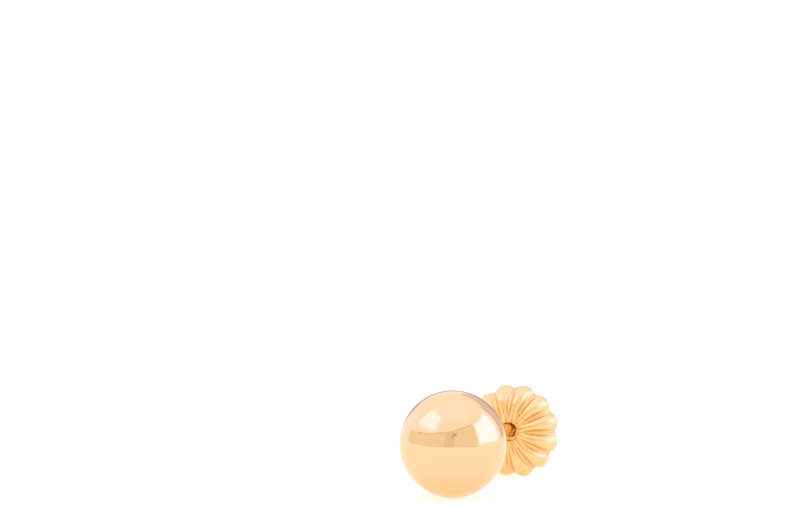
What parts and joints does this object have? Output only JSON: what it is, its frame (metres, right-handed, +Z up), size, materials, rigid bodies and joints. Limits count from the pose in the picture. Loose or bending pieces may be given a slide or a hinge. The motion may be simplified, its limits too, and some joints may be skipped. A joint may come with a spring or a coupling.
{
  "type": "ball stud earring with push back",
  "caption": "Polished hollow ball on a straight ear post, with a fluted flower-shaped push back that slides on the post.",
  "frame": {"origin": "on the surface that the earring lies on, under the middle of its box", "axes": "+Y from the ball towards the post's tip, +Z up, +X to the right seen from the ball's front; the post tips 1.65 degrees down towards its tip"},
  "size_m": [0.008, 0.019, 0.008],
  "materials": {
    "gold": "mirror-polished 14 karat yellow gold",
    "pressed_gold": "bright pressed 14 karat yellow gold"
  },
  "bodies": {
    "stud": {"ball_and_post": "gold"},
    "back": {"ear_back": "pressed_gold"}
  },
  "joints": [
    {"name": "back_slide", "type": "slide", "parent": "stud", "child": "back", "axis": [0, 0.9996, -0.0288], "range_m": [-0.0077, 0.005]}
  ]
}
